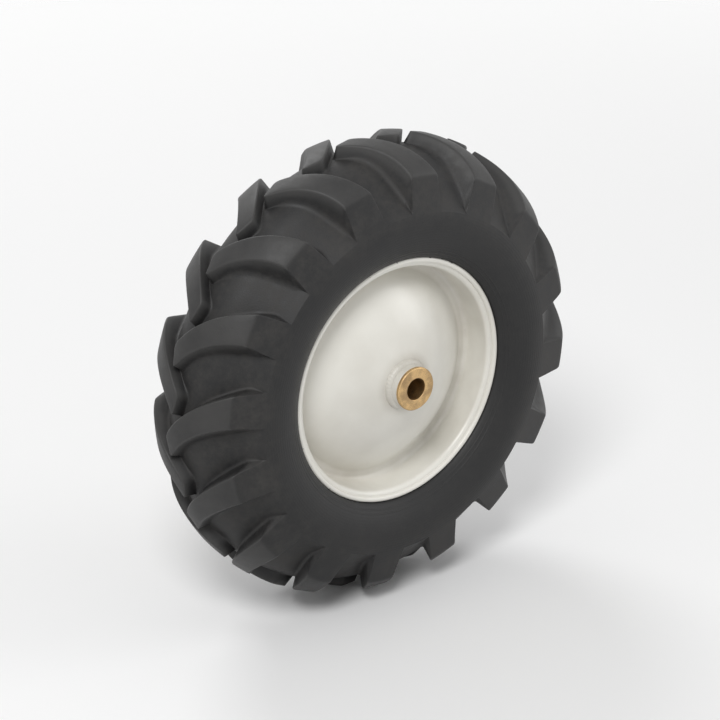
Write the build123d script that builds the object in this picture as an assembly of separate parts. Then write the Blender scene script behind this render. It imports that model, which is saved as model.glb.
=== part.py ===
from build123d import *
from math import cos, radians, sin, tan
import os

# A garden-machine wheel: a lugged tubeless tyre on two pressed rim halves, with a hub tube, two
# flanged bushes and a tyre valve. The axle line is Y, the outer face looks along -Y, and +Z is up.

# Tyre, mm
tyre_diameter = 406.0  # over the lugs at the crown
tread_width = 101.0  # between the lug tips of the two shoulders
notch_width = 118.0  # across the two sidewalls where the gaps between lugs run out
crown_drop = 21.5  # crown down to the lug tips
lug_depth = 10.5  # at the crown
notch_depth = 30.5  # lug tip down to where a gap runs out on the sidewall
notch_angle = 45.0  # degrees, how steeply a gap's floor runs out
crown_rubber = 11.5  # under the tread at the crown
crown_flat = 36.0  # width of the flat inside the crown
casing = 7.5  # rubber in the sidewalls and round the beads
bead_width = 15.0

# Lugs of one shoulder, seen from above with the shoulder at one side and the crown at the other
lug_count = 16
lug_shoulder_width = 27.2
lug_nose_width = 18.8
lug_lean = 45.5  # along the tread, from the shoulder to the nose
lug_past_centre = 5.3  # nose past the crown line
lug_nose_slant = 5.0
lug_bow = 4.6
lug_draft = 7.0  # degrees
lug_phase = 7.4  # degrees, the first outer lug's shoulder from the top
lug_root = 3.0  # how far a lug is rooted in the casing
root_angle = 40.0  # degrees, the same for a lug's root

# Pressed rim halves
bead_seat_diameter = 203.2
rim_inner_width = 87.0  # between the two flanges
rim_sheet = 2.0
flange_height = 6.9  # bead seat up to the lip's edge
lip_roll = 4.8
flange_bend = 4.0
well_bend = 5.0
weld_land = 5.0  # flat ring where the two halves meet
land_place = 14.0  # that ring's plane, in front of the wheel's middle
dome_angle = 45.0  # degrees, how steeply the dish starts to rise
hub_proud = 10.0  # hub tube standing out of the dish

# Hub tube and bushes
hub_length = 132.0
hub_diameter = 38.1
axle_diameter = 19.05
axle_clearance = 0.05
bush_wall = 3.15
bush_length = 19.0
bush_flange_diameter = 38.1
bush_flange = 3.2
seat_clearance = 0.02
edge_break = 0.8

# Snap-in valve through the barrel of the inner half
rubber_gap = 0.2  # between the rubber parts and what they lie against
bulb_room = 0.55  # between the bulb and the tyre's bead
valve_hole = 11.5
bulb_diameter = 14.5
bulb_height = 5.0
stem_diameter = 10.2
stem_length = 13.5  # rim to the end of the rubber
thread_diameter = 7.7
thread_length = 7.5
insert_hold = 10.0  # brass held inside the rubber
core_diameter = 4.9
core_length = 12.0
pin_diameter = 1.6
pin_length = 2.4
cap_wall = 1.1
cap_crown = 1.6

# What the sizes above make together
crown_radius = tyre_diameter / 2
tip_radius = crown_radius - crown_drop
floor_radius = crown_radius - lug_depth
notch_radius = tip_radius - notch_depth
tread_half = tread_width / 2
notch_half = notch_width / 2
seat_radius = bead_seat_diameter / 2
lip_radius = seat_radius + flange_height
flange_face = rim_inner_width / 2
hub_radius = hub_diameter / 2
dome_height = hub_length / 2 - hub_proud
axle_bore_radius = axle_diameter / 2 + axle_clearance
bush_radius = axle_bore_radius + bush_wall
hub_bore_radius = bush_radius + seat_clearance
clinch_radius = lip_radius + rubber_gap
bead_radius = seat_radius + rubber_gap
bead_face = flange_face - rubber_gap
bead_toe = bead_face - bead_width
valve_place = bead_toe - bulb_room - bulb_diameter / 2

tip = (tip_radius, tread_half)
notch = (notch_radius, notch_half)
shoulder_run = (notch_radius - tip_radius, notch_half - tread_half)


def ring(face):
    """Turns a section, drawn as radius along X and distance along Y, about the axle line."""
    return revolve(face, axis=Axis.Y)


def both_sides(edges):
    """A section closed by the mirror image of its upper half."""
    return make_face(list(edges) + [mirror(edge, about=Plane.XZ) for edge in edges])


def tread_lines(top, steep):
    """Half a tread section: a crown arc that is level in the middle and a straight run to the notch."""
    turn = radians(steep)
    size = (tan(turn) * notch_half - top + notch_radius) / (tan(turn) * sin(turn) - 1 + cos(turn))
    knee = (top - size * (1 - cos(turn)), size * sin(turn))
    return [TangentArc((top, 0), knee, tangent=(0, 1)), Line(knee, notch)]


def casing_section():
    """The casing without lugs, hollow and open between its beads."""
    rim_edge = (clinch_radius, flange_face + lip_roll)
    bead = Polyline(
        rim_edge,
        (clinch_radius, bead_face),
        (bead_radius + flange_bend, bead_face),
        (bead_radius, bead_face - flange_bend),
        (bead_radius, bead_toe),
        (bead_radius + casing, bead_toe),
        (clinch_radius + casing, bead_face),
        (notch_radius, notch_half - casing),
        (floor_radius - crown_rubber, crown_flat / 2),
        (floor_radius - crown_rubber, 0),
    )
    sidewall = TangentArc(notch, rim_edge, tangent=shoulder_run)
    return both_sides([*tread_lines(floor_radius, notch_angle), sidewall, *bead.edges()])


def lug_section():
    """Where lugs can be: from just inside the casing out to the lug tops."""
    top = [TangentArc((crown_radius, 0), tip, tangent=(0, 1)), Line(tip, notch)]
    return both_sides(top + tread_lines(floor_radius - lug_root, root_angle))


def lug_outline():
    """Top of one outer lug: X along the tread, Y across it, shoulder on the -Y side."""
    half = lug_shoulder_width / 2
    shoulder = -tread_half
    outside = -notch_half - lug_root
    nose = lug_past_centre
    nose_half = lug_nose_width / 2
    trailing = (-lug_lean + nose_half, nose + lug_nose_slant / 2)
    leading = (-lug_lean - nose_half, nose - lug_nose_slant / 2)
    return make_face(
        [
            Line((half, outside), (half, shoulder)),
            SagittaArc((half, shoulder), trailing, -lug_bow),
            Line(trailing, leading),
            SagittaArc(leading, (-half, shoulder), lug_bow),
            Line((-half, shoulder), (-half, outside)),
            Line((-half, outside), (half, outside)),
        ]
    )


def make_lug(bounds):
    """One outer lug standing at the top of the wheel."""
    depth = crown_radius - notch_radius + lug_root
    top = lug_outline()
    foot = offset(top, depth * tan(radians(lug_draft)), kind=Kind.INTERSECTION)
    blade = loft([Pos(0, 0, crown_radius) * top, Pos(0, 0, crown_radius - depth) * foot], ruled=True)
    return blade & bounds


def make_tyre():
    lug = make_lug(ring(lug_section()))
    other_lug = mirror(lug, about=Plane.XZ)
    pitch = 360 / lug_count
    lugs = []
    for number in range(lug_count):
        turn = lug_phase + number * pitch
        lugs.append(Rot(0, turn, 0) * lug)
        lugs.append(Rot(0, turn + pitch / 2, 0) * other_lug)
    return ring(casing_section()).fuse(*lugs)


def beside(points, way, gap):
    """The points moved sideways by a gap, corners mitred, for a line that goes on along way."""
    ways = [(after - point).normalized() for point, after in zip(points, points[1:])] + [way]
    moved = []
    for number, point in enumerate(points):
        before = ways[max(number - 1, 0)]
        both = before + ways[number]
        moved.append(point + Vector(both.Y, -both.X) * (gap / (1 + before.dot(ways[number]))))
    return moved


def rim_section(depth, dish):
    """One pressed half, opening along +Y, with its flange and its dish so high above the weld land."""
    middle = rim_sheet / 2
    seat = seat_radius - middle
    flange = depth + middle
    roll_radius = lip_radius - lip_roll / 2
    barrel = [
        Vector(roll_radius, flange),
        Vector(seat + flange_bend, flange),
        Vector(seat, flange - flange_bend),
        Vector(seat, middle + well_bend),
        Vector(seat - well_bend, middle),
        Vector(seat - well_bend - weld_land, middle),
    ]
    steep = radians(dome_angle)
    rise = Vector(-cos(steep), sin(steep))
    hub_end = Vector(hub_radius - rim_sheet, dish)
    level = TangentArc(barrel[-1], hub_end, tangent=rise) % 1
    back = beside(barrel, rise, -middle)
    front = beside(barrel, rise, middle)
    back_end = hub_end - Vector(level.Y, -level.X) * middle
    front_end = hub_end + Vector(level.Y, -level.X) * middle
    sheet = make_face(
        [
            *Polyline(*back).edges(),
            TangentArc(back[-1], back_end, tangent=rise),
            Line(back_end, front_end),
            TangentArc(front[-1], front_end, tangent=rise),
            *Polyline(*front).edges(),
            Line(front[0], back[0]),
        ]
    )
    roll = RegularPolygon(lip_roll / 2, 8, major_radius=False, rotation=360 / 16)
    hub_hole = Rectangle(hub_diameter, 2 * hub_length)
    return sheet + Pos(roll_radius, depth + lip_roll / 2) * roll - hub_hole


def valve_solid(points):
    """A turned valve piece: (radius, distance in from the barrel's outside) for half its section."""
    section = make_face(Polyline(*points, close=True).edges())
    turned = revolve(Plane.XZ * section, axis=Axis.Z)
    return Pos(0, valve_place, seat_radius) * Rot(180, 0, 0) * turned


def make_valve_stem():
    """Rubber stem: a bulb inside the tyre, and a taper through the rim into the dish."""
    neck = valve_hole / 2 - rubber_gap
    outside = -rubber_gap
    return valve_solid(
        [
            (core_diameter / 2, outside - bulb_height),
            (neck, outside - bulb_height),
            (bulb_diameter / 2, outside),
            (neck, outside),
            (stem_diameter / 2, stem_length),
            (thread_diameter / 2, stem_length),
            (thread_diameter / 2, stem_length - insert_hold),
            (core_diameter / 2, stem_length - insert_hold),
        ]
    )


def make_valve_insert():
    """Brass insert, with the threaded end standing out of the rubber."""
    end = stem_length + thread_length
    return valve_solid(
        [
            (core_diameter / 2, stem_length - insert_hold),
            (thread_diameter / 2, stem_length - insert_hold),
            (thread_diameter / 2, end),
            (core_diameter / 2, end),
        ]
    )


def make_valve_core():
    end = stem_length + thread_length
    return valve_solid(
        [
            (0, end - core_length),
            (core_diameter / 2, end - core_length),
            (core_diameter / 2, end - pin_length),
            (pin_diameter / 2, end - pin_length),
            (pin_diameter / 2, end),
            (0, end),
        ]
    )


def make_valve_cap():
    inside = thread_diameter / 2 + seat_clearance
    outside = inside + cap_wall
    end = stem_length + thread_length
    top = end + cap_crown
    return valve_solid(
        [
            (inside, stem_length),
            (outside, stem_length),
            (outside, top),
            (0, top),
            (0, end),
            (inside, end),
        ]
    )


def make_hub_tube():
    wall = hub_radius - hub_bore_radius
    section = Pos(hub_bore_radius + wall / 2, 0) * Rectangle(wall, hub_length)
    return ring(chamfer(section.vertices().group_by(Axis.X)[0], edge_break))


def make_inner_bush():
    """Bush in the +Y end of the hub tube, its flange flat on the tube's end."""
    seat = hub_length / 2
    face = seat + bush_flange
    flange_radius = bush_flange_diameter / 2
    end = seat - bush_length
    section = Polyline(
        (axle_bore_radius, end),
        (bush_radius - edge_break, end),
        (bush_radius, end + edge_break),
        (bush_radius, seat),
        (flange_radius, seat),
        (flange_radius, face - edge_break),
        (flange_radius - edge_break, face),
        (axle_bore_radius, face),
        close=True,
    )
    return ring(make_face(section.edges()))


outer_section = rim_section(flange_face - land_place, dome_height - land_place)
inner_section = rim_section(flange_face + land_place, dome_height + land_place)
to_land = Pos(0, -land_place, 0)
hole = Pos(0, valve_place, seat_radius) * Cylinder(valve_hole / 2, 4 * rim_sheet)
inner_bush = make_inner_bush()

parts = {
    "tyre": make_tyre(),
    "outer_rim_half": to_land * mirror(ring(outer_section), about=Plane.XZ),
    "inner_rim_half": to_land * ring(inner_section) - hole,
    "hub_tube": make_hub_tube(),
    "outer_bush": mirror(inner_bush, about=Plane.XZ),
    "inner_bush": inner_bush,
    "valve_stem": make_valve_stem(),
    "valve_insert": make_valve_insert(),
    "valve_core": make_valve_core(),
    "valve_cap": make_valve_cap(),
}

os.makedirs("parts", exist_ok=True)
for name, part in parts.items():
    export_step(part, f"parts/{name}.step")
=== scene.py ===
import bpy
import bmesh
import math
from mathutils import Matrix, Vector, kdtree
from mathutils.geometry import delaunay_2d_cdt


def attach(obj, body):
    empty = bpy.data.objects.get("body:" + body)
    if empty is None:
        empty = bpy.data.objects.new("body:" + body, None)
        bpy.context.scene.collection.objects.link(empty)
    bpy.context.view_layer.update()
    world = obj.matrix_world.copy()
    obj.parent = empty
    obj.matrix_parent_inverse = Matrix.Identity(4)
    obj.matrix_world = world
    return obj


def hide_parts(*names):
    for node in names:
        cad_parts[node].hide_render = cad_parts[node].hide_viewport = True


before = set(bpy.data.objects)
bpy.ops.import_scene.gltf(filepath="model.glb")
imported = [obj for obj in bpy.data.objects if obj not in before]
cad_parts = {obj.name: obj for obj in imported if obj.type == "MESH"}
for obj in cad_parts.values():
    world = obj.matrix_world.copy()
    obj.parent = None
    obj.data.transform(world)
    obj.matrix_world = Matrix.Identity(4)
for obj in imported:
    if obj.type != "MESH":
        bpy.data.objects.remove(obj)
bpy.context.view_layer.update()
mm = 0.001  # the sizes below are in millimetres, the scene is in metres


# shader maths

class Val:
    def __init__(self, tree, socket=None):
        self.tree = tree
        self.socket = socket

    def node(self, kind, settings=None, inputs=None, out=0):  # adds any node
        made = self.tree.nodes.new(kind)
        for name, value in (settings or {}).items():
            setattr(made, name, value)
        for key, value in (inputs or {}).items():
            if isinstance(value, Val):
                self.tree.links.new(value.socket, made.inputs[key])
            else:
                made.inputs[key].default_value = value
        return Val(self.tree, made.outputs[out])

    def calc(self, operation, *values):
        return self.node("ShaderNodeMath", {"operation": operation}, dict(enumerate(values)))

    def __add__(self, other):
        return self.calc("ADD", self, other)

    def __sub__(self, other):
        return self.calc("SUBTRACT", self, other)

    def __rsub__(self, other):
        return self.calc("SUBTRACT", other, self)

    def __mul__(self, other):
        return self.calc("MULTIPLY", self, other)

    __radd__ = __add__
    __rmul__ = __mul__

    def sine(self):
        return self.calc("SINE", self)

    def root(self):
        return self.calc("SQRT", self)

    def step(self, low, high):  # 0 below low, 1 above high, smooth between
        ends = {"Value": self, "From Min": low, "From Max": high, "To Min": 0.0, "To Max": 1.0}
        return self.node("ShaderNodeMapRange", {"interpolation_type": "SMOOTHSTEP"}, ends)

    def near(self, middle, half):  # 1 on a narrow band, 0 off it
        gap = self - middle
        return 1 - gap.calc("ABSOLUTE", gap).step(half / 2, half)

    def blend(self, first, second):  # colours mixed by this value
        colours = {0: self}
        for key, colour in ((6, first), (7, second)):
            colours[key] = (*colour, 1) if isinstance(colour, tuple) else colour
        return self.node("ShaderNodeMix", {"data_type": "RGBA"}, colours, 2)


def newFinish(name, paint, fixed):  # fixed: what is the same all over the surface
    material = bpy.data.materials.new(name)
    material.use_nodes = True
    tree = material.node_tree
    shader = tree.nodes["Principled BSDF"]
    for key, value in fixed.items():
        shader.inputs[key].default_value = value
    place = Val(tree).node("ShaderNodeTexCoord", out=3)  # object coordinates
    for key, value in paint(place).items():
        tree.links.new(value.socket, shader.inputs[key])
    return material


def noise(place, scale, detail=4.0, rough=0.55):
    values = {"Vector": place, "Scale": scale, "Detail": detail, "Roughness": rough}
    return place.node("ShaderNodeTexNoise", inputs=values)


def axleDistance(place):
    split = place.node("ShaderNodeSeparateXYZ", inputs={0: place}).socket.node
    x, z = (Val(place.tree, split.outputs[n]) for n in (0, 2))
    return (x * x + z * z).root()


def bump(place, height, strength, distance):
    values = {"Strength": strength, "Distance": distance, "Height": height}
    return place.node("ShaderNodeBump", inputs=values)


rubberLook = {
    # the lighter tone on lug tops and edges is partly wear, partly painted highlight
    "deep": (0.012, 0.012, 0.0125), "wearAndHighlight": (0.038, 0.0375, 0.037), "dust": (0.075, 0.07, 0.064),
    "blotches": 26, "grain": 900, "scuffs": 140, "rough": 0.43,
    "floorFrom": (0.13, 0.16), "sidewallTo": (0.147, 0.155),  # distances from the axle line, in metres
    "turning": 2600, "fittingRibs": (0.1135, 0.1165), "ribHalf": 0.0006,
}


def rubberPaint(place):
    look = rubberLook
    far = axleDistance(place)
    # the point mark read here paints lug tops and edges lighter: partly wear, partly painted highlight
    top = place.node("ShaderNodeAttribute", {"attribute_name": "lugTopWearAndHighlight"}, out=2)
    blotch = noise(place, look["blotches"])
    grain = noise(place, look["grain"], 3)
    scuff = noise(place, look["scuffs"], 6, 0.7)
    # lug tops and their edges painted lighter: partly wear, partly painted highlight that sets them off from
    # the shoulders and floor
    wearAndHighlight = (top * (0.35 + blotch * 0.9)).step(0.35, 1.0)
    base = wearAndHighlight.blend(look["deep"], look["wearAndHighlight"])
    low = (1 - top.calc("MINIMUM", top, 1.0)) * far.step(*look["floorFrom"])  # tread floor only
    dusty = (low * 0.3 + 0.12) * (blotch * 0.6 + scuff * 0.7).step(0.45, 0.95)
    colour = dusty.blend(base, look["dust"])
    sidewall = 1 - far.step(*look["sidewallTo"])
    rings = (far * look["turning"]).sine() * sidewall * 0.1  # from turning the mould
    inner, outer = look["fittingRibs"]  # lines beside the rim
    ribs = far.near(inner, look["ribHalf"]) + far.near(outer, look["ribHalf"])
    height = grain * 0.5 + scuff * 0.5 + rings + ribs * 1.6
    rough = look["rough"] + dusty * 0.35 + scuff * 0.16
    return {"Base Color": colour, "Roughness": rough, "Normal": bump(place, height, 0.35, 0.0006)}


enamelLook = {
    "coat": (0.79, 0.775, 0.72), "shade": (0.70, 0.68, 0.62),
    "grime": (0.30, 0.26, 0.20), "chip": (0.16, 0.155, 0.15),
    "clouds": 9, "peel": 420, "specks": 210, "rough": 0.3,
    "cornerFrom": (0.086, 0.0965), "cornerTo": (0.0985, 0.1005),  # distances from the axle line, in metres
    "footFrom": (0.0188, 0.0192), "footTo": (0.0195, 0.031), "lipFrom": (0.1055, 0.1078),
}


def enamelPaint(place):
    look = enamelLook
    far = axleDistance(place)
    cloud = noise(place, look["clouds"], 5)
    peel = noise(place, look["peel"], 2)
    speck = noise(place, look["specks"], 4, 0.65)
    base = cloud.step(0.35, 0.7).blend(look["coat"], look["shade"])
    corner = far.step(*look["cornerFrom"]) * (1 - far.step(*look["cornerTo"]))  # the well holds dirt
    hubFoot = (1 - far.step(*look["footTo"])) * far.step(*look["footFrom"])
    dirt = (corner * 0.5 + hubFoot * 0.5 + 0.06) * cloud.step(0.25, 0.8)
    dirty = dirt.blend(base, look["grime"])
    chips = (far.step(*look["lipFrom"]) * 0.28 + speck).step(0.9, 0.93)  # on the lip only
    colour = chips.blend(dirty, look["chip"])
    rough = look["rough"] + dirt * 0.4 + chips * 0.2 + peel * 0.05
    normal = bump(place, cloud - chips, 0.1, 0.0003)
    return {"Base Color": colour, "Roughness": rough, "Normal": normal}


bronzeLook = {"bright": (0.66, 0.45, 0.22), "dull": (0.40, 0.27, 0.14), "pore": (0.11, 0.075, 0.045),
              "clouds": 120, "pores": 2600, "turning": 9000, "rough": 0.3}


def bronzePaint(place):
    look = bronzeLook
    far = axleDistance(place)
    cloud = noise(place, look["clouds"], 5)
    pitted = noise(place, look["pores"], 2, 0.6).step(0.6, 0.68)
    base = cloud.step(0.35, 0.68).blend(look["bright"], look["dull"])
    colour = pitted.blend(base, look["pore"])
    marks = (far * look["turning"]).sine() * 0.25
    rough = look["rough"] + cloud * 0.18 + pitted * 0.3
    return {"Base Color": colour, "Roughness": rough, "Normal": bump(place, marks - pitted, 0.25, 0.0002)}


def mottledPaint(look):  # two near tones in clouds, and a fine grain
    def paint(place):
        cloud = noise(place, *look["clouds"])
        grain = noise(place, *look["grain"])
        base = cloud.step(*look["band"]).blend(*look["tones"])
        rough = look["rough"] + cloud * look["roughSpan"]
        return {"Base Color": base, "Roughness": rough, "Normal": bump(place, grain, *look["relief"])}

    return paint


brassLook = {"tones": ((0.76, 0.58, 0.29), (0.58, 0.41, 0.18)), "clouds": (300, 5), "band": (0.3, 0.75),
             "rough": 0.22, "roughSpan": 0.22, "grain": (300, 5), "relief": (0.1, 0.0002)}
stemLook = {"tones": ((0.016, 0.016, 0.017), (0.055, 0.053, 0.05)), "clouds": (160, 4), "band": (0.4, 0.8),
            "rough": 0.5, "roughSpan": 0.25, "grain": (1400, 3), "relief": (0.25, 0.0003)}
capLook = {"tones": ((0.022, 0.022, 0.023), (0.045, 0.044, 0.043)), "clouds": (240, 4), "band": (0.4, 0.75),
           "rough": 0.38, "roughSpan": 0.2, "grain": (2200, 2), "relief": (0.15, 0.0002)}

rubber = newFinish("tyreRubber", rubberPaint, {"Specular IOR Level": 0.36})
enamel = newFinish("rimEnamel", enamelPaint, {"Coat Weight": 0.25, "Coat Roughness": 0.22})
bronze = newFinish("bushBronze", bronzePaint, {"Metallic": 1.0})
brass = newFinish("valveBrass", mottledPaint(brassLook), {"Metallic": 1.0})
stemRubber = newFinish("valveRubber", mottledPaint(stemLook), {"Specular IOR Level": 0.4})
capPlastic = newFinish("valvePlastic", mottledPaint(capLook), {"Specular IOR Level": 0.45})
print("finishes made")


# meshes

def meshPiece(name, points, faces):
    mesh = bpy.data.meshes.new(name)
    mesh.from_pydata([Vector(p) * mm for p in points], [], faces)
    piece = bpy.data.objects.new(name, mesh)
    bpy.context.collection.objects.link(piece)
    return piece


def closeUp(mesh, weld=0.01):  # joins doubles and turns the faces outwards
    work = bmesh.new()
    work.from_mesh(mesh)
    bmesh.ops.remove_doubles(work, verts=work.verts, dist=weld * mm)
    bmesh.ops.dissolve_degenerate(work, dist=0.001 * mm, edges=work.edges)
    bmesh.ops.recalc_face_normals(work, faces=work.faces)
    for face in work.faces:
        face.smooth = True
    work.to_mesh(mesh)
    work.free()


def settle(piece, finish, slot, *nodes):  # the last step for each piece
    piece.data.materials.clear()
    piece.data.materials.append(finish)
    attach(piece, "root")
    if nodes:
        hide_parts(*nodes)
    print(piece.name, len(piece.data.polygons), "faces")


def copiesRoundTree():  # one pitch repeated round an axis
    tree = bpy.data.node_groups.new("copiesRound", "GeometryNodeTree")
    kinds = {"Geometry": "Geometry", "Copies": "Int", "Axis": "Vector", "Weld": "Float", "Finish": "Material"}
    for label, kind in kinds.items():
        tree.interface.new_socket(label, in_out="INPUT", socket_type="NodeSocket" + kind)
    tree.interface.new_socket("Geometry", in_out="OUTPUT", socket_type="NodeSocketGeometry")
    new, link = tree.nodes.new, tree.links.new
    given, result = new("NodeGroupInput"), new("NodeGroupOutput")
    spots, index = new("GeometryNodePoints"), new("GeometryNodeInputIndex")
    share, angle = new("ShaderNodeMath"), new("ShaderNodeMath")
    turn = new("FunctionNodeAxisAngleToRotation")
    copies, whole = new("GeometryNodeInstanceOnPoints"), new("GeometryNodeRealizeInstances")
    weld, finish = new("GeometryNodeMergeByDistance"), new("GeometryNodeSetMaterial")
    share.operation, angle.operation = "DIVIDE", "MULTIPLY"
    angle.inputs[1].default_value = 2 * math.pi
    link(given.outputs["Copies"], spots.inputs["Count"])
    link(index.outputs[0], share.inputs[0])
    link(given.outputs["Copies"], share.inputs[1])
    link(share.outputs[0], angle.inputs[0])
    link(given.outputs["Axis"], turn.inputs["Axis"])
    link(angle.outputs[0], turn.inputs["Angle"])
    link(spots.outputs[0], copies.inputs["Points"])
    link(given.outputs["Geometry"], copies.inputs["Instance"])
    link(turn.outputs[0], copies.inputs["Rotation"])
    link(copies.outputs[0], whole.inputs[0])
    link(whole.outputs[0], weld.inputs["Geometry"])
    link(given.outputs["Weld"], weld.inputs["Distance"])
    link(weld.outputs[0], finish.inputs["Geometry"])
    link(given.outputs["Finish"], finish.inputs["Material"])
    link(finish.outputs[0], result.inputs[0])
    return tree


copiesRound = copiesRoundTree()


def repeatRound(piece, copies, axis, weld, finish):
    modifier = piece.modifiers.new("copiesRound", "NODES")
    modifier.node_group = copiesRound
    values = {"Copies": copies, "Axis": axis, "Weld": weld * mm, "Finish": finish}
    for item in copiesRound.interface.items_tree:
        if item.in_out == "INPUT" and item.name in values:
            modifier[item.identifier] = values[item.name]
    piece.update_tag()
    graph = bpy.context.evaluated_depsgraph_get()
    whole = bpy.data.meshes.new_from_object(piece.evaluated_get(graph), depsgraph=graph)
    piece.modifiers.clear()
    piece.data = whole
    closeUp(whole)


def rounded(corners, facets=6):  # closed outline of (x, y, corner radius)
    outline = []
    for before, here, after in zip(corners[-1:] + corners[:-1], corners, corners[1:] + corners[:1]):
        spot = Vector(here[:2])
        if here[2] <= 0:
            outline.append(tuple(spot))
            continue
        back, ahead = Vector(before[:2]) - spot, Vector(after[:2]) - spot
        half = back.angle(ahead) / 2
        room = [edge.length * (0.49 if end[2] > 0 else 0.98)  # two round corners share the edge between them
                for edge, end in ((back, before), (ahead, after))]
        cut = min(here[2] / math.tan(half), *room)
        size = cut * math.tan(half)
        centre = spot + (back.normalized() + ahead.normalized()).normalized() * (size / math.sin(half))
        first, last = spot + back.normalized() * cut - centre, spot + ahead.normalized() * cut - centre
        whole = first.angle(last)
        for n in range(facets + 1):
            part = n / facets
            arm = first * math.sin((1 - part) * whole) + last * math.sin(part * whole)
            outline.append(tuple(centre + arm / math.sin(whole)))
    return outline


def filled(outline, longest):  # adds points to long runs of an outline
    result = []
    for here, after in zip(outline, outline[1:] + outline[:1]):
        count = max(1, math.ceil(math.dist(here, after) / longest))
        for n in range(count):
            result.append(tuple(Vector(here).lerp(Vector(after), n / count)))
    return result


def turned(name, outline, steps, spread=None):  # an outline of (radius, along) turned round the axle line
    points, faces = [], []
    size = len(outline)
    for n in range(steps):
        angle = 2 * math.pi * n / steps
        for i, (radius, along) in enumerate(outline):
            if spread:
                radius, along = spread(i, angle, radius, along)
            points.append((radius * math.sin(angle), along, radius * math.cos(angle)))
    for n in range(steps):
        for i in range(size):
            a, b = n * size + i, n * size + (i + 1) % size
            shift = ((n + 1) % steps - n) * size
            faces.append((a, b, b + shift, a + shift))
    piece = meshPiece(name, points, faces)
    closeUp(piece.data)
    return piece


# tyre: one pitch of the tread is meshed on the unrolled surface, then repeated round the axle

tyre = {
    "crownRadius": 203.0, "tipRadius": 181.5, "tipHalf": 50.5,  # lug tops
    "floorRadius": 192.5, "notchRadius": 151.0, "notchHalf": 59.0, "notchAngle": 45.0,  # between the lugs
    "rimRadius": 108.7, "rimHalf": 48.3,  # where the sidewall ends on the rim's lip
    "bead": ((108.7, 46.6), (108.7, 44.2), (108.2, 43.3), (105.8, 43.3), (103.2, 42.0), (101.8, 39.3),
             (101.8, 29.2), (102.8, 28.3), (108.4, 28.3), (109.7, 29.2)),  # (radius, along) on the rim
    "hollow": ((116.2, 43.3), (133.6, 47.4), (151.0, 51.5), (161.0, 40.3), (171.0, 29.2),
               (181.0, 18.0), (181.0, 0.0)),
    # the lighter lug colour fades out below the shoulder tips; it is partly wear, partly painted highlight
    "tipRound": 0.45, "tipRows": (0.6, 0.0, -0.45), "wearAndHighlightFade": 5.0, "sideRings": 16, "pitchSteps": 16,
    "spacing": 4.5, "columns": (-40, 60), "edgeRoom": 0.5, "innerRoom": 0.42,  # the map's own points
}
lug = {
    "count": 16, "shoulderWidth": 27.2, "noseWidth": 18.8, "lean": 45.5, "pastCentre": 5.3,
    "noseSlant": 5.0, "bow": 4.6, "draft": 7.0, "flare": 0.037, "phase": 7.4,
    "topRound": 1.7, "footRound": 3.4, "leastRound": 0.3, "wallLeft": 0.8, "cornerPasses": 7,
    "topShare": 0.45, "footShare": 0.29, "ringReach": 1.35,  # how much of the room the rounds may take
    "gapBefore": (-1.4, -11.4), "gapAfter": (22.7, 14.7),  # from the narrowest gap, the way between lugs
    "gapRun": 4.0, "gapEnds": 58.0,
}
lugPitch = 2 * math.pi / lug["count"]
flatRadius = 195.0  # the tread is unrolled at this radius


def arcAcross(top, low, half):  # centre and size of an arc that is level at the crown
    drop = top - low
    size = (drop * drop + half * half) / (2 * drop)
    return top - size, size


topCentre, topSize = arcAcross(tyre["crownRadius"], tyre["tipRadius"], tyre["tipHalf"])
notchTurn = math.radians(tyre["notchAngle"])


def floorArc():  # centre and size of the floor's crown arc, from which a straight run goes on to the notch
    slope = math.tan(notchTurn)
    drop = tyre["floorRadius"] - tyre["notchRadius"]
    size = (slope * tyre["notchHalf"] - drop) / (slope * math.sin(notchTurn) - 1 + math.cos(notchTurn))
    return tyre["floorRadius"] - size, size


floorCentre, floorSize = floorArc()
kneeHalf = floorSize * math.sin(notchTurn)


def floorAt(y):
    y = abs(y)
    if y > kneeHalf:
        return tyre["notchRadius"] + (tyre["notchHalf"] - y) * math.tan(notchTurn)
    return floorCentre + math.sqrt(floorSize ** 2 - y * y)


def tiltAt(y):  # cosine of the floor's slope
    return math.sqrt(floorSize ** 2 - min(abs(y), kneeHalf) ** 2) / floorSize


def mapAcross(y):  # length over the floor, from the crown
    run = floorSize * math.asin(min(abs(y), kneeHalf) / floorSize)
    run += max(abs(y) - kneeHalf, 0) / math.cos(notchTurn)
    return math.copysign(run, y)


def fromMap(run):
    bend = min(abs(run) / floorSize, notchTurn)
    y = floorSize * math.sin(bend) + (abs(run) - bend * floorSize) * math.cos(notchTurn)
    return math.copysign(y, run)


edgeAcross = mapAcross(tyre["notchHalf"])


def topAt(y):  # crown arc and straight shoulder, with a soft corner between them
    y = abs(y)
    crown = topCentre + math.sqrt(topSize ** 2 - y * y)
    run = (y - tyre["tipHalf"]) / (tyre["notchHalf"] - tyre["tipHalf"])
    side = tyre["tipRadius"] + run * (tyre["notchRadius"] - tyre["tipRadius"])
    low, soft = min(crown, side), tyre["tipRound"]
    return low - soft * math.log(math.exp((low - crown) / soft) + math.exp((low - side) / soft))


def bowed(start, end, bow, count):
    chord = math.dist(start, end)
    size = (chord * chord / 4 + bow * bow) / (2 * abs(bow))
    half = math.asin(chord / 2 / size)
    along = (Vector(end) - Vector(start)).normalized()
    left = Vector((-along.y, along.x)) * math.copysign(1, bow)
    points = []
    for n in range(count + 1):
        angle = half * (2 * n / count - 1)
        rise = size * (math.cos(angle) - math.cos(half))
        points.append(Vector(start) + along * (chord / 2 + size * math.sin(angle)) + left * rise)
    return points


def straight(start, end, count):
    return [Vector(start).lerp(Vector(end), n / count) for n in range(count + 1)]


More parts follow.
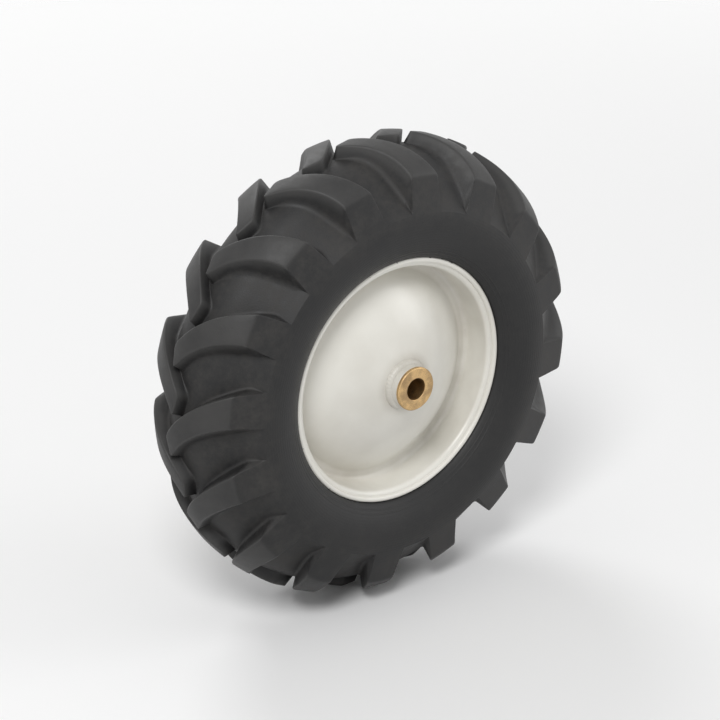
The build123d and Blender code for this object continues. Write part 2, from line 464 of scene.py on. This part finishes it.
def eased(values, passes):  # evens out a row of values or points, ends kept
    for _ in range(passes):
        inner = [(a + b * 2 + c) / 4 for a, b, c in zip(values, values[1:], values[2:])]
        values = values[:1] + inner + values[-1:]
    return values


def softLimit(limits, reach):  # a row of values that changes gently and stays under its limits
    low = [min(limits[max(n - reach, 0):n + reach + 1]) for n in range(len(limits))]
    return [min(pair) for pair in zip(eased(low, 2 * reach), limits)]


def lugOutline():  # x along the tread, y across it, from notch to notch round the nose
    half, shoulder, notch = lug["shoulderWidth"] / 2, -tyre["tipHalf"], -tyre["notchHalf"]
    noseHalf, slant = lug["noseWidth"] / 2, lug["noseSlant"] / 2
    trailing = (-lug["lean"] + noseHalf, lug["pastCentre"] + slant)
    leading = (-lug["lean"] - noseHalf, lug["pastCentre"] - slant)
    points = straight((half, notch), (half, shoulder), 12)
    points += bowed((half, shoulder), trailing, -lug["bow"], 50)[1:]
    points += straight(trailing, leading, 14)[1:]
    points += bowed(leading, (-half, shoulder), lug["bow"], 46)[1:]
    points += straight((-half, shoulder), (-half, notch), 12)[1:]
    points = eased(points, lug["cornerPasses"])
    for n, p in enumerate(points):  # wider lower down
        p.x += lug["flare"] * (tyre["crownRadius"] - topAt(p.y)) * (1 if n < len(points) / 2 else -1)
    return points


def unroll(point):  # (x, y, up) on the wheel's top to the flat map
    return Vector((math.atan2(point[0], point[2]) * flatRadius, mapAcross(point[1])))


def otherSide(spot):  # the far shoulder's lug is a mirror image, half a pitch on
    return Vector((spot.x + lugPitch / 2 * flatRadius, -spot.y))


def lugLevels():  # rings of points from the lug's top, over its edge and down its wall to the floor
    line = lugOutline()
    count = len(line)
    outward = []
    for n in range(count):
        along = line[min(n + 1, count - 1)] - line[max(n - 1, 0)]
        outward.append(Vector((along.y, -along.x)).normalized())
    outward[0], outward[-1] = Vector((1, 0)), Vector((-1, 0))
    draft = math.tan(math.radians(lug["draft"]))
    tilts = [tiltAt(p.y) for p in line]
    heights = [topAt(p.y) - floorAt(p.y) for p in line]
    thicks = [height * tilt for height, tilt in zip(heights, tilts)]
    walls = [draft * height for height in heights]
    footMap = []
    for p, out, wall in zip(line, outward, walls):
        spot = p + out * wall
        footMap.append(unroll((spot.x, spot.y, math.sqrt(floorAt(p.y) ** 2 - spot.x ** 2))))
    pitch = Vector((lugPitch * flatRadius, 0))
    around = [p + pitch * n for p in footMap for n in (-1, 1)]
    around += [otherSide(p) + pitch * n for p in footMap for n in (-2, -1, 0, 1)]
    tree = kdtree.KDTree(len(around))
    for n, p in enumerate(around):
        tree.insert((p.x, p.y, 0), n)
    tree.balance()
    topLimit, footLimit = [], []
    for n, p in enumerate(line):
        part = min(1, thicks[n] / (lug["topRound"] + lug["footRound"] + lug["wallLeft"]))
        room = tree.find((footMap[n].x, footMap[n].y, 0))[2]
        bend = outward[max(n - 2, 0)].angle(outward[min(n + 2, count - 1)])
        reach = (line[min(n + 2, count - 1)] - line[max(n - 2, 0)]).length
        topLimit.append(min(lug["topRound"], lug["topShare"] * reach / max(bend, 0.01)) * part)
        footLimit.append(min(lug["footRound"], lug["footShare"] * room) * part)
    tops, feet = softLimit(topLimit, 3), softLimit(footLimit, 6)
    levels = []
    stages = [("top", 0), ("top", 28), ("top", 56), ("top", 90), ("foot", 90), ("foot", 58), ("foot", 28),
              ("foot", 0), ("ring", 0)]
    for kind, degrees in stages:
        bend = math.radians(degrees)
        ring = []
        for n, p in enumerate(line):
            if kind == "top":
                out = max(tops[n], lug["leastRound"]) * (math.sin(bend) - 1)
                shift = -tops[n] * (1 - math.cos(bend)) / tilts[n]
            else:
                out = walls[n] + max(feet[n], lug["leastRound"]) * (1 - math.sin(bend))
                shift = feet[n] * (1 - math.cos(bend)) / tilts[n]
            if kind == "ring":
                out = walls[n] + max(feet[n], lug["leastRound"]) * lug["ringReach"]
            spot = p + outward[n] * out
            spot.y = max(spot.y, -tyre["notchHalf"])
            size = topAt(spot.y) if kind == "top" else floorAt(spot.y)
            ring.append((spot.x, spot.y, math.sqrt(size ** 2 - spot.x ** 2) + shift))
        levels.append(ring)
    maps = [[unroll(p) for p in ring] for ring in levels]
    for row, part in ((4, 0.3), (5, 0.55), (6, 0.78)):  # a wall can lean, so the map spaces its rings out
        maps[row] = [a.lerp(b, part) for a, b in zip(maps[3], maps[7])]
    for ring in maps:
        for end in (0, -1):
            ring[end].y = -edgeAcross
    return levels, maps


def inside(spot, outline):
    hit = False
    for a, b in zip(outline, outline[1:] + outline[:1]):
        if (a.y > spot.y) != (b.y > spot.y) and spot.x < a.x + (spot.y - a.y) / (b.y - a.y) * (b.x - a.x):
            hit = not hit
    return hit


def onFloor(spot):
    angle, across = spot.x / flatRadius, fromMap(spot.y)
    size = floorAt(across)
    return size * math.sin(angle), across, size * math.cos(angle)


def onTop(spot):
    angle, across = spot.x / flatRadius, fromMap(spot.y)
    size = topAt(across)
    return size * math.sin(angle), across, size * math.cos(angle)


def turnPoint(point, angle):  # clockwise as the outer face is seen
    x, y, z = point
    return x * math.cos(angle) + z * math.sin(angle), y, z * math.cos(angle) - x * math.sin(angle)


def pitchEdge(maps):  # the line between one pitch and the next, through the gap where two lugs come closest
    pitch = lugPitch * flatRadius
    near = [p + Vector((pitch, 0)) for p in maps[-1]]  # next lug on this side
    far = [otherSide(p) for p in maps[-1]]
    closest = []
    for start, end in zip(far, far[1:]):
        run = (end - start).normalized()
        for p in near:
            part = max(0, min((end - start).length, (p - start).dot(run)))
            closest.append(((p - start - run * part).length, (p + start + run * part) / 2, -run))
    gap, middle, run = min(closest, key=lambda found: found[0])
    ends = lug["gapEnds"]
    ways = [Vector((pitch / 2, -edgeAcross)), Vector((pitch / 2, -ends)), middle + Vector(lug["gapBefore"]),
            middle - run * lug["gapRun"], middle, middle + run * lug["gapRun"],
            middle + Vector(lug["gapAfter"]), Vector((pitch, ends)), Vector((pitch, edgeAcross))]
    print("lug feet", round(gap, 2), "mm apart where they come closest")
    edge = []
    for start, end in zip(ways, ways[1:]):
        count = max(1, round((end - start).length / (1 if middle in (start, end) else 3)))
        edge += [start.lerp(end, n / count) for n in range(count)]
    return edge + ways[-1:]


def treadPitch():
    levels, maps = lugLevels()
    pitch = Vector((lugPitch * flatRadius, 0))
    right = pitchEdge(maps)
    left = [p - pitch for p in right]
    spots, places, marks, ties = [], [], [], []

    def addRow(row, solid, mark, tied=True):
        first = len(spots)
        spots.extend(row)
        places.extend(solid)
        marks.extend([mark] * len(row))
        if tied:
            ties.extend((first + n, first + n + 1) for n in range(len(row) - 1))
        return list(range(first, len(spots)))

    addRow(left, [onFloor(p) for p in left], 0)
    addRow(right, [onFloor(p) for p in right], 0)
    wearAndHighlightMarks = [1, 1.6, 1.8, 1.3, 0.3, 0.15, 0.05, 0, 0]  # edges are painted lightest: partly wear, partly painted highlight
    rows = list(zip(levels, maps, wearAndHighlightMarks))
    reach = lug["shoulderWidth"] / 2 - lug["topRound"] - 1
    for shift in tyre["tipRows"]:  # these keep the corner from top to shoulder crisp
        y = shift - tyre["tipHalf"]
        row = [(reach * n / 4, y, math.sqrt(topAt(y) ** 2 - (reach * n / 4) ** 2)) for n in range(-4, 5)]
        rows.append((row, [unroll(p) for p in row], 1))
    for ring, flat, mark in rows:
        addRow(flat, ring, mark)
        addRow([otherSide(p) for p in flat], [turnPoint((x, -y, z), lugPitch / 2) for x, y, z in ring], mark)
    known = kdtree.KDTree(len(spots))
    for n, p in enumerate(spots):
        known.insert((p.x, p.y, 0), n)
    known.balance()
    border = right + left[::-1]
    lugsFlat = [(maps[0], maps[-1]), ([otherSide(p) for p in maps[0]], [otherSide(p) for p in maps[-1]])]
    gap = tyre["spacing"]
    rows = round(2 * edgeAcross / gap)
    across = 2 * edgeAcross / rows
    for row in range(rows + 1):
        y = -edgeAcross + row * across
        room = gap * (tyre["edgeRoom"] if row in (0, rows) else tyre["innerRoom"])
        for column in range(*tyre["columns"]):
            p = Vector(((column + 0.5 * (row % 2)) * gap, y))
            probe = Vector((p.x, y * 0.9999))
            if known.find((p.x, p.y, 0))[2] < room or not inside(probe, border):
                continue
            onLug = [inside(probe, top) for top, foot in lugsFlat]
            onFoot = [inside(probe, foot) for top, foot in lugsFlat]
            if any(onLug):
                addRow([p], [onTop(p)], 1, False)
            elif not any(onFoot):
                addRow([p], [onFloor(p)], 0, False)
    for level in (-edgeAcross, edgeAcross):  # the two notch lines close the map
        ends = sorted((n for n, p in enumerate(spots) if abs(p.y - level) < 1e-4), key=lambda n: spots[n].x)
        ties.extend(zip(ends, ends[1:]))
    flat, _, faces, origin, _, _ = delaunay_2d_cdt(spots, ties, [], 1, 1e-5)
    if len(flat) != len(spots):
        print("tread map changed:", len(spots), "points became", len(flat))
    solid = [places[sources[0]] if sources else onFloor(flat[n]) for n, sources in enumerate(origin)]
    tops = [marks[sources[0]] if sources else 0 for sources in origin]
    for n, (x, y, z) in enumerate(solid):  # only the crown side of a lug is painted lighter, as wear and as painted highlight that sets it off from the shoulder
        tops[n] *= max(0, min(1, 1 + (math.hypot(x, z) - tyre["tipRadius"]) / tyre["wearAndHighlightFade"]))
    notches = []
    for level in (-edgeAcross, edgeAcross):
        ends = [n for n, p in enumerate(flat) if abs(p.y - level) < 1e-4]
        notches.append(sorted(ends, key=lambda n: flat[n].x))
    return solid, tops, [tuple(face) for face in faces], notches, flat


def sideProfile():  # (radius, along) from the notch line down the sidewall, round the bead and up inside
    start = Vector((tyre["notchRadius"], tyre["notchHalf"]))
    end = Vector((tyre["rimRadius"], tyre["rimHalf"]))
    way = Vector((tyre["notchRadius"] - tyre["tipRadius"], tyre["notchHalf"] - tyre["tipHalf"])).normalized()
    chord = end - start
    side = Vector((way.y, -way.x)) if chord.dot(Vector((way.y, -way.x))) > 0 else Vector((-way.y, way.x))
    size = chord.length_squared / (2 * chord.dot(side))
    centre = start + side * size
    sweep = 2 * math.asin(chord.length / 2 / size)
    count = tyre["sideRings"]
    points = []
    for n in range(1, count + 1):
        angle = sweep * n / count
        points.append(tuple(centre - side * size * math.cos(angle) + way * size * math.sin(angle)))
    return points + list(tyre["bead"]) + list(tyre["hollow"])


def makeTyre():
    points, tops, faces, notches, flat = treadPitch()
    profile = sideProfile()
    steps = tyre["pitchSteps"]
    for side, notch in zip((-1, 1), notches):
        begin = flat[notch[0]].x / flatRadius
        angles = [begin + lugPitch * n / steps for n in range(steps + 1)]
        ring = notch
        ringAngles = [math.atan2(points[n][0], points[n][2]) for n in notch]
        for radius, along in profile:
            first = len(points)
            points += [(radius * math.sin(t), side * along, radius * math.cos(t)) for t in angles]
            tops += [0] * len(angles)
            new = list(range(first, len(points)))
            i = j = 0
            while i < len(ring) - 1 or j < len(new) - 1:  # zips two rings of points together
                level = len(ring) == len(new)
                if level:
                    faces.append((ring[i], ring[i + 1], new[j + 1], new[j]))
                    i, j = i + 1, j + 1
                elif j == len(new) - 1 or (i < len(ring) - 1 and ringAngles[i + 1] <= angles[j + 1]):
                    faces.append((ring[i], ring[i + 1], new[j]))
                    i += 1
                else:
                    faces.append((ring[i], new[j + 1], new[j]))
                    j += 1
            ring, ringAngles = new, angles
    start = math.radians(lug["phase"])
    piece = meshPiece("lugged_tyre", [turnPoint(p, start) for p in points], faces)
    # marks the lug tops and edges that are painted lighter: partly wear, partly painted highlight
    mark = piece.data.attributes.new("lugTopWearAndHighlight", "FLOAT", "POINT")
    mark.data.foreach_set("value", tops)
    repeatRound(piece, lug["count"], (0, 1, 0), 0.004, rubber)
    for edge in piece.data.edges:  # the notch line stays a sharp corner
        ends = [piece.data.vertices[n].co / mm for n in edge.vertices]
        miss = [math.hypot(p.x, p.z) - tyre["notchRadius"] for p in ends]
        miss += [abs(p.y) - tyre["notchHalf"] for p in ends]
        edge.use_edge_sharp = max(abs(m) for m in miss) < 0.02
    return piece


settle(makeTyre(), rubber, "tyre_rubber", "tyre")


# rim halves, as pressed: rolled lip, flange, barrel, weld land and dish

rim = {
    "seat": 101.6, "face": 43.5, "sheet": 2.0, "lipRadius": 108.5, "roll": 2.4, "rollSteps": 17,
    "flangeBend": 3.0, "wellBend": 6.0, "landEdge": 90.6, "hubRadius": 19.05, "steps": 256,
    "domeAngle": 45.0, "domeHeight": 56.0, "domeBend": 6.0, "domeInset": 8.0, "domeSteps": 24,
    "land": 14.0,  # the halves meet this far in front of the middle
}


def domeArc(side):  # centre and size of the dish's middle line, heights from the weld land
    start = Vector((rim["landEdge"], rim["sheet"] / 2))
    end = Vector((rim["hubRadius"] - rim["sheet"], rim["domeHeight"] + side * rim["land"]))
    steep = math.radians(rim["domeAngle"])
    inward = Vector((-math.sin(steep), -math.cos(steep)))
    chord = end - start
    size = chord.length_squared / (2 * chord.dot(inward))
    return start + inward * size, size


def domeLine(side, offset, ends, count):
    centre, size = domeArc(side)
    size += offset
    line = []
    for n in range(count + 1):
        radius = ends[0] + (ends[1] - ends[0]) * n / count
        line.append((radius, centre.y + math.sqrt(size ** 2 - (radius - centre.x) ** 2)))
    return line


def rimOutline(side):
    seat, sheet, hub = rim["seat"], rim["sheet"], rim["hubRadius"]
    face = rim["face"] + side * rim["land"]
    lean = math.tan(math.radians(rim["domeAngle"] / 2)) * sheet / 2
    rollAt = rim["lipRadius"] - rim["roll"]
    foot = rim["landEdge"] - rim["domeInset"]  # the bend is rounded outside this
    back = domeLine(side, -sheet / 2, (foot, hub), rim["domeSteps"])
    front = domeLine(side, sheet / 2, (hub, foot), rim["domeSteps"])
    corners = [(rollAt, face, 0), (seat, face, rim["flangeBend"]), (seat, 0, rim["wellBend"]),
               (rim["landEdge"] - lean, 0, rim["domeBend"] + 1)]
    corners += [(r, a, 0) for r, a in back] + [(r, a, 0) for r, a in front]
    corners += [(rim["landEdge"] + lean, sheet, rim["domeBend"] - 1),
                (seat - sheet, sheet, rim["wellBend"] - sheet),
                (seat - sheet, face + sheet, rim["flangeBend"] + sheet)]
    rollHeight = face + rim["roll"]
    start = math.asin((face + sheet - rollHeight) / rim["roll"])
    steps, roll = rim["rollSteps"], rim["roll"]
    for n in range(steps):  # round the roll, from inside the dish to the tyre's side
        angle = math.pi - start - (1.5 * math.pi - start) * n / steps
        corners.append((rollAt + roll * math.cos(angle), rollHeight + roll * math.sin(angle), 0))
    return filled(rounded(corners, 8), 4.0)


def makeRimHalf(name, side):
    outline = [(r, side * a - rim["land"]) for r, a in rimOutline(side)]
    return turned(name, outline, rim["steps"])


valve = {"place": 20.5, "hole": 11.5, "holeSteps": 48, "drill": (90.0, 112.0), "seat": 101.6, "steps": 64}


def drillValveHole(piece):
    steps, size = valve["holeSteps"], valve["hole"] / 2
    angles = [2 * math.pi * n / steps for n in range(steps)]
    ring = [(size * math.cos(t), size * math.sin(t)) for t in angles]
    points = [(x, valve["place"] + y, z) for z in valve["drill"] for x, y in ring]
    faces = [tuple(range(steps)), tuple(range(steps, 2 * steps))]
    for n in range(steps):
        after = (n + 1) % steps
        faces.append((n, after, after + steps, n + steps))
    cutter = meshPiece("valveDrill", points, faces)
    closeUp(cutter.data)
    modifier = piece.modifiers.new("hole", "BOOLEAN")
    modifier.operation, modifier.object, modifier.solver = "DIFFERENCE", cutter, "EXACT"
    graph = bpy.context.evaluated_depsgraph_get()
    cut = bpy.data.meshes.new_from_object(piece.evaluated_get(graph), depsgraph=graph)
    piece.modifiers.clear()
    piece.data = cut
    bpy.data.objects.remove(cutter)


outerHalf = makeRimHalf("outer_rim_pressing", -1)
innerHalf = makeRimHalf("inner_rim_pressing", 1)
drillValveHole(innerHalf)
settle(outerHalf, enamel, "rim_paint", "outer_rim_half")
settle(innerHalf, enamel, "rim_paint", "inner_rim_half")


# hub tube with the weld beads that hold it in the dishes

hub = {"half": 66.0, "radius": 19.05, "bore": 12.745, "edge": 0.8, "steps": 128,
       "beadLeg": 3.4, "beadSink": 0.8, "beadSwell": 0.6, "beadSteps": 6, "ripples": 44, "rippleSize": 0.28}


def weldBead(side):  # (radius, along) of a fillet in the corner of tube and dish
    leg, sink, steps = hub["beadLeg"], hub["beadSink"], hub["beadSteps"]
    foot = domeLine(side, rim["sheet"] / 2, (hub["radius"], hub["radius"] + leg), 1)
    low, high = foot[1][1], foot[0][1] + leg
    bead = [(hub["radius"] - 1, low - sink), (hub["radius"] + leg, low - sink)]
    for n in range(steps + 1):
        part = n / steps
        swell = hub["beadSwell"] * math.sin(math.pi * part)
        bead.append((hub["radius"] + leg * (1 - part) + swell, low + (high - low) * part + swell))
    bead.append((hub["radius"] - 1, high))
    return [(r, side * a - rim["land"]) for r, a in bead]


def ripple(i, angle, radius, along):  # only the bead's open face ripples
    if 2 <= i <= hub["beadSteps"] + 2:
        wave = hub["rippleSize"] * abs(math.sin(angle * hub["ripples"] / 2 + i * 0.12)) - 0.1
        radius += wave
        along += math.copysign(wave, along)
    return radius, along


def makeHubTube():
    half, edge, bore = hub["half"], hub["edge"], hub["bore"]
    corners = [(hub["radius"], -half, 0.5), (hub["radius"], half, 0.5), (bore + edge, half, 0.3),
               (bore, half - edge, 0.3), (bore, edge - half, 0.3), (bore + edge, -half, 0.3)]
    tube = turned("welded_hub_tube", filled(rounded(corners, 3), 12.0), hub["steps"])
    rings = [tube]
    for side in (-1, 1):
        rings.append(turned("hubWeld", weldBead(side), 4 * hub["ripples"], ripple))
    work = bmesh.new()
    for ring in rings:
        work.from_mesh(ring.data)
    work.to_mesh(tube.data)
    work.free()
    for ring in rings[1:]:
        bpy.data.objects.remove(ring)
    return tube


settle(makeHubTube(), enamel, "rim_paint", "hub_tube")


# flanged bushes

bush = {"seat": 66.0, "length": 19.0, "bore": 9.575, "radius": 12.725, "flange": 3.2, "flangeRadius": 19.05,
        "edge": 0.8, "steps": 128}


def makeBush(name, side):
    face, end, edge = bush["seat"] + bush["flange"], bush["seat"] - bush["length"], bush["edge"]
    corners = [(bush["bore"], end, 0.4), (bush["radius"] - edge, end, 0.3), (bush["radius"], end + edge, 0.3),
               (bush["radius"], bush["seat"], 0), (bush["flangeRadius"], bush["seat"], 0.3),
               (bush["flangeRadius"], face - edge, 0.4), (bush["flangeRadius"] - edge, face, 0.4),
               (bush["bore"], face, 0.6)]
    outline = [(r, side * a) for r, a in filled(rounded(corners, 4), 5.0)]
    return turned(name, outline, bush["steps"])


settle(makeBush("outer_flanged_bush", -1), bronze, "bush_bronze", "outer_bush")
settle(makeBush("inner_flanged_bush", 1), bronze, "bush_bronze", "inner_bush")


# valve: rubber stem and ribbed cap; the insert and core keep their solids

stem = {"neck": 5.55, "bulb": 7.25, "bulbHeight": 5.0, "gap": 0.2, "endRadius": 5.1, "length": 13.5,
        "thread": 3.85, "hold": 10.0, "core": 2.45}
cap = {"inside": 3.87, "outside": 4.97, "start": 13.5, "end": 21.0, "top": 22.6,
       "ribs": 28, "ribSteps": 6, "ribDepth": 0.28}


def intoRim(mesh):  # from (radius, depth) round the axle line to the stem's own line, pointing at the axle
    for vertex in mesh.vertices:
        x, y, z = vertex.co
        vertex.co = (x, valve["place"] * mm - z, valve["seat"] * mm - y)
    closeUp(mesh, 0.002)


def makeStem():
    low = -stem["gap"]
    corners = [(stem["core"], low - stem["bulbHeight"], 0.3), (stem["neck"], low - stem["bulbHeight"], 1.2),
               (stem["bulb"], low, 0.7), (stem["neck"], low, 0.1), (stem["neck"] - 0.05, 2.4, 0.3),
               (stem["neck"] - 0.5, 3.2, 0.6), (stem["neck"] - 0.1, 4.6, 1.0),
               (stem["endRadius"], stem["length"], 0.8), (stem["thread"], stem["length"], 0),
               (stem["thread"], stem["length"] - stem["hold"], 0),
               (stem["core"], stem["length"] - stem["hold"], 0)]
    piece = turned("valve_rubber_stem", filled(rounded(corners, 5), 2.5), valve["steps"])
    intoRim(piece.data)
    return piece


def makeCap():
    profile = [(cap["inside"], cap["start"], 0), (cap["inside"] + 0.6, cap["start"], 0),
               (cap["outside"], cap["start"] + 0.5, 1), (cap["outside"], cap["top"] - 1.2, 1),
               (cap["outside"] - 0.5, cap["top"] - 0.35, 0.3),
               (cap["outside"] - 1.4, cap["top"], 0), (1.2, cap["top"], 0), (1.2, cap["end"], 0),
               (cap["inside"], cap["end"], 0)]
    steps = cap["ribSteps"]
    pitch = 2 * math.pi / cap["ribs"]
    points, faces = [], []
    for n in range(steps + 1):
        angle = pitch * n / steps
        dip = cap["ribDepth"] * (0.5 + 0.5 * math.cos(2 * math.pi * n / steps)) ** 2
        for radius, depth, ribbed in profile:
            size = radius - dip * ribbed
            points.append((size * math.sin(angle), depth, size * math.cos(angle)))
    size = len(profile)
    for n in range(steps):
        for i in range(size):
            if i == 6:
                continue
            a, b = n * size + i, n * size + (i + 1) % size
            faces.append((a, b, b + size, a + size))
        for i, middle in ((6, cap["top"]), (7, cap["end"])):
            points.append((0, middle, 0))
            faces.append((n * size + i, (n + 1) * size + i, len(points) - 1))
    piece = meshPiece("ribbed_valve_cap", points, faces)
    repeatRound(piece, cap["ribs"], (0, 1, 0), 0.004, capPlastic)
    intoRim(piece.data)
    return piece


settle(makeStem(), stemRubber, "valve_rubber", "valve_stem")
settle(makeCap(), capPlastic, "valve_plastic", "valve_cap")
for name in ("valve_insert", "valve_core"):
    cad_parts[name].data.materials.clear()
    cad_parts[name].data.materials.append(brass)


# studio

studio = {
    "floor": -0.203, "floorHalf": 6000, "paper": (0.92, 0.92, 0.92), "fade": (0.7, 2.2), "room": 0.42,
    "azimuth": -39.0, "elevation": 24.0, "distance": 2.8, "width": 0.61, "offCentre": (-0.0055, 0.0042),
    "lamps": {"key": ((-1.7, -1.5, 2.5), 1.2, 56), "fill": ((2.4, -1.6, 1.2), 1.6, 16),
              "rim": ((0.6, 2.2, 2.0), 1.4, 26)},  # place, size and power
}


def paperPaint(place):  # fades out into the white behind it
    spread = place.node("ShaderNodeVectorMath", {"operation": "LENGTH"}, {0: place}, 1)
    return {"Roughness": 0.7 + noise(place, 40) * 0.1, "Alpha": 1 - spread.step(*studio["fade"])}


def makeFloor():
    size = studio["floorHalf"]
    corners = [(-size, -size, 0), (size, -size, 0), (size, size, 0), (-size, size, 0)]
    floor = meshPiece("floor", corners, [(0, 1, 2, 3)])
    for vertex in floor.data.vertices:
        vertex.co.z = studio["floor"]
    finish = newFinish("paper", paperPaint, {"Base Color": (*studio["paper"], 1)})
    floor.data.materials.append(finish)


def softLamp(name, place, size, power):  # aimed at the wheel's middle
    lamp = bpy.data.lights.new(name, "AREA")
    lamp.shape, lamp.size, lamp.energy = "DISK", size, power
    holder = bpy.data.objects.new(name, lamp)
    holder.location = place
    holder.rotation_euler = (-Vector(place)).to_track_quat("-Z", "Y").to_euler()
    bpy.context.collection.objects.link(holder)


def makeStudio():
    makeFloor()
    world = bpy.data.worlds.new("room")
    world.use_nodes = True
    tree = world.node_tree
    back = tree.nodes["Background"]
    rays = Val(tree).node("ShaderNodeLightPath").socket.node.outputs
    seen = Val(tree, rays["Is Camera Ray"]) + Val(tree, rays["Is Glossy Ray"])
    seen = seen + Val(tree, rays["Is Transmission Ray"])
    seen = seen.calc("MINIMUM", seen, 1.0)
    strength = studio["room"] + seen * (1 - studio["room"])  # white where it is seen, dimmer as light
    tree.links.new(strength.socket, back.inputs["Strength"])
    back.inputs["Color"].default_value = (1, 1, 1, 1)
    bpy.context.scene.world = world
    for name, (place, size, power) in studio["lamps"].items():
        softLamp(name, place, size, power)
    lens = bpy.data.cameras.new("view")
    lens.sensor_width = 36
    lens.lens = lens.sensor_width * studio["distance"] / studio["width"]
    lens.shift_x, lens.shift_y = studio["offCentre"]
    camera = bpy.data.objects.new("view", lens)
    a, e = math.radians(studio["azimuth"]), math.radians(studio["elevation"])
    back = Vector((math.sin(a) * math.cos(e), -math.cos(a) * math.cos(e), math.sin(e)))
    camera.location = back * studio["distance"]
    camera.rotation_euler = back.to_track_quat("Z", "Y").to_euler()
    bpy.context.collection.objects.link(camera)
    bpy.context.scene.camera = camera
    bpy.context.scene.view_settings.view_transform = "Standard"


makeStudio()
print("studio set")
